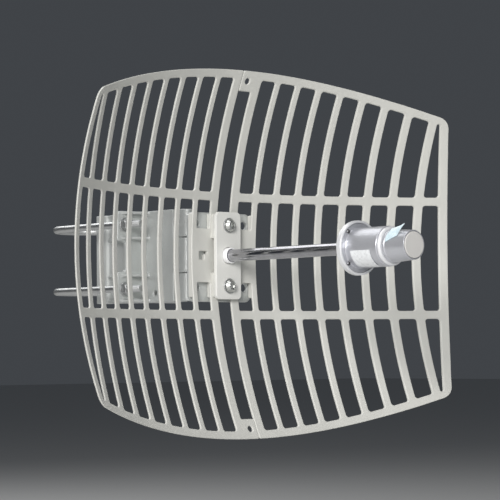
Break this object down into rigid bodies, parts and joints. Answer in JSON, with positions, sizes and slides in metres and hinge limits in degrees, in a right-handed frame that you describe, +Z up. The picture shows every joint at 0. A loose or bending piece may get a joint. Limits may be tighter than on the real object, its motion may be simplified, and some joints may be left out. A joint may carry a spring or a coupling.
{
  "type": "parabolic grid antenna",
  "caption": "Parabolic grid antenna: slotted two-piece curved reflector, tube-mounted can feed in front, hinged bracket with U-bolts behind for clamping to a round mast.",
  "frame": {"origin": "on the axis of the mast that the bracket clamps, level with the reflector's boresight", "axes": "-Y along the boresight, away from the mast; +Z up along the mast; +X to the right for somebody who looks into the dish from its front"},
  "size_m": [0.4, 0.4376, 0.3],
  "materials": {
    "powder_coat": "warm light grey powder coat on die-cast aluminium",
    "cast_metal": "satin cast",
    "zinc": "bright zinc plate",
    "chrome": "polished",
    "silver_paint": "silver paint",
    "pale_plastic": "satin",
    "white_plastic": "satin",
    "black_plastic": "satin",
    "rubber": "matte",
    "brass": "machined",
    "dark_steel": "blackened",
    "bare_aluminium": "turned",
    "label": "blank film sticker"
  },
  "bodies": {
    "mast_mount": {"mast_bracket": "cast_metal", "hinge_bolt": "zinc", "hinge_nut": "zinc", "u_washer_upper_left": "zinc", "u_washer_upper_right": "zinc", "u_washer_lower_left": "zinc", "u_washer_lower_right": "zinc", "u_nut_upper_left": "zinc", "u_nut_upper_right": "zinc", "u_nut_lower_left": "zinc", "u_nut_lower_right": "zinc"},
    "antenna": {"hub_bracket": "cast_metal", "reflector_left": "powder_coat", "reflector_right": "powder_coat", "clamp_plate": "powder_coat", "clamp_washer_upper": "zinc", "clamp_washer_lower": "zinc", "clamp_screw_upper": "zinc", "clamp_screw_lower": "zinc", "tube_bush": "white_plastic", "tube_locknut": "zinc", "feed_tube": "chrome", "coax_dielectric": "white_plastic", "coax_inner": "brass", "gland_body": "brass", "gland_nut": "black_plastic", "gland_seal": "rubber", "feed_flange": "silver_paint", "feed_housing": "silver_paint", "flange_screw_1": "dark_steel", "flange_screw_2": "dark_steel", "flange_screw_3": "dark_steel", "flange_screw_4": "dark_steel", "step_ring": "silver_paint", "front_housing": "silver_paint", "end_disc": "pale_plastic", "sub_reflector": "bare_aluminium", "dipole_element": "brass", "housing_label": "label", "front_label": "label"},
    "upper_u_bolt": {"u_bolt_upper": "zinc"},
    "lower_u_bolt": {"u_bolt_lower": "zinc"}
  },
  "joints": [
    {"name": "bracket_hinge", "type": "hinge", "parent": "mast_mount", "child": "antenna", "pos_m": [0, -0.141, 0.0025], "axis": [0, 0, 1], "range_deg": [-30, 30]},
    {"name": "upper_u_bolt_slide", "type": "slide", "parent": "mast_mount", "child": "upper_u_bolt", "axis": [0, 1, 0], "range_m": [-0.015, 0.012]},
    {"name": "lower_u_bolt_slide", "type": "slide", "parent": "mast_mount", "child": "lower_u_bolt", "axis": [0, 1, 0], "range_m": [-0.015, 0.012]}
  ]
}
